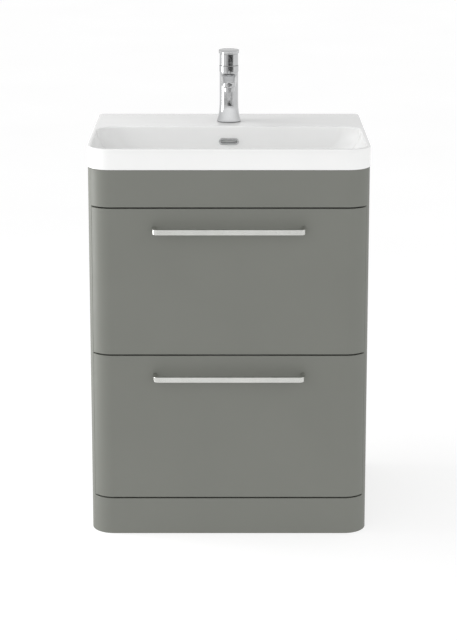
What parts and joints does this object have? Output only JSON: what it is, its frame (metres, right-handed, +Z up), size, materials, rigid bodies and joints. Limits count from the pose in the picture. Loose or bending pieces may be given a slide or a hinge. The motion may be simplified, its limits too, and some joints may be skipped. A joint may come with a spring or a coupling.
{
  "type": "bathroom vanity cabinet",
  "caption": "Floor-standing bathroom vanity: grey cabinet with rounded front corners, drawers with bow handles, one-piece white basin, single-lever tap, waste and trap.",
  "frame": {"origin": "middle of the footprint on the floor, with the handles counted in the depth", "axes": "+Z up; the drawers open towards -Y and the back stands against the wall at +Y; +X is to the right of someone facing the drawers"},
  "size_m": [0.6, 0.482, 1.015],
  "materials": {
    "grey_lacquer": "satin lacquered board, cool grey",
    "carcass_board": "faced particle board",
    "drawer_board": "faced board, satin",
    "white_ceramic": "white glazed ceramic, opaque",
    "chrome": "polished",
    "zinc_steel": "zinc plated",
    "brass_nuts": "turned",
    "black_rubber": "matt",
    "white_plastic": "moulded",
    "grey_plastic": "moulded",
    "ceramic_cartridge": "moulded body"
  },
  "bodies": {
    "cabinet": {"side_panel_left": "grey_lacquer", "side_panel_right": "grey_lacquer", "base_panel": "carcass_board", "back_panel": "drawer_board", "plinth_front": "grey_lacquer", "plinth_rear_rail": "carcass_board", "top_fascia": "grey_lacquer", "front_rail": "carcass_board", "hanging_rail": "carcass_board", "front_bumpers": "black_rubber", "cabinet_rails_upper": "zinc_steel", "cabinet_rails_lower": "zinc_steel", "basin": "white_ceramic", "overflow_cover": "chrome", "waste_seal": "black_rubber", "waste_body": "chrome", "waste_washer": "black_rubber", "waste_nut": "brass_nuts", "trap_inlet_pipe": "white_plastic", "trap_nut": "white_plastic", "trap_body": "white_plastic", "trap_cup": "white_plastic", "trap_outlet_pipe": "white_plastic", "tap_base_seal": "black_rubber", "tap_body": "chrome", "tap_collar": "chrome", "tap_cartridge": "ceramic_cartridge", "tap_aerator": "chrome", "tap_stud": "zinc_steel", "tap_clamp_washer": "zinc_steel", "tap_clamp_nut": "brass_nuts"},
    "drawer_upper": {"upper_drawer_front": "grey_lacquer", "upper_handle": "chrome", "upper_handle_screws": "zinc_steel", "upper_front_screws": "brass_nuts", "upper_side_left": "drawer_board", "upper_side_right": "drawer_board", "upper_box_front": "drawer_board", "upper_back": "drawer_board", "upper_bottom": "drawer_board", "upper_cutout_guard": "grey_plastic", "upper_drawer_rails": "zinc_steel"},
    "drawer_lower": {"lower_drawer_front": "grey_lacquer", "lower_handle": "chrome", "lower_handle_screws": "zinc_steel", "lower_front_screws": "brass_nuts", "lower_side_left": "drawer_board", "lower_side_right": "drawer_board", "lower_box_front": "drawer_board", "lower_back": "drawer_board", "lower_bottom": "drawer_board", "lower_drawer_rails": "zinc_steel"},
    "slide_upper": {"slide_members_upper": "zinc_steel"},
    "slide_lower": {"slide_members_lower": "zinc_steel"},
    "tap_head": {"tap_head": "chrome"},
    "tap_lever": {"tap_lever": "chrome"},
    "waste_plug": {"waste_plug": "chrome"}
  },
  "joints": [
    {"name": "drawer_upper_slide", "type": "slide", "parent": "cabinet", "child": "drawer_upper", "axis": [0, -1, 0], "range_m": [0, 0.35]},
    {"name": "drawer_lower_slide", "type": "slide", "parent": "cabinet", "child": "drawer_lower", "axis": [0, -1, 0], "range_m": [0, 0.35]},
    {"name": "slide_upper_travel", "type": "slide", "parent": "cabinet", "child": "slide_upper", "axis": [0, -1, 0], "range_m": [0, 0.175]},
    {"name": "slide_lower_travel", "type": "slide", "parent": "cabinet", "child": "slide_lower", "axis": [0, -1, 0], "range_m": [0, 0.175]},
    {"name": "tap_head_turn", "type": "hinge", "parent": "cabinet", "child": "tap_head", "pos_m": [0, 0.141, 0.99], "axis": [0, 0, 1], "range_deg": [-45, 45]},
    {"name": "tap_lever_lift", "type": "hinge", "parent": "tap_head", "child": "tap_lever", "pos_m": [0, 0.161, 1.007], "axis": [-1, 0, 0], "range_deg": [0, 20]},
    {"name": "waste_plug_lift", "type": "slide", "parent": "cabinet", "child": "waste_plug", "axis": [0, 0, 1], "range_m": [0, 0.008]}
  ],
  "couplings": [
    {"joint": "slide_upper_travel", "follows": "drawer_upper_slide", "ratio": 0.5},
    {"joint": "slide_lower_travel", "follows": "drawer_lower_slide", "ratio": 0.5}
  ]
}
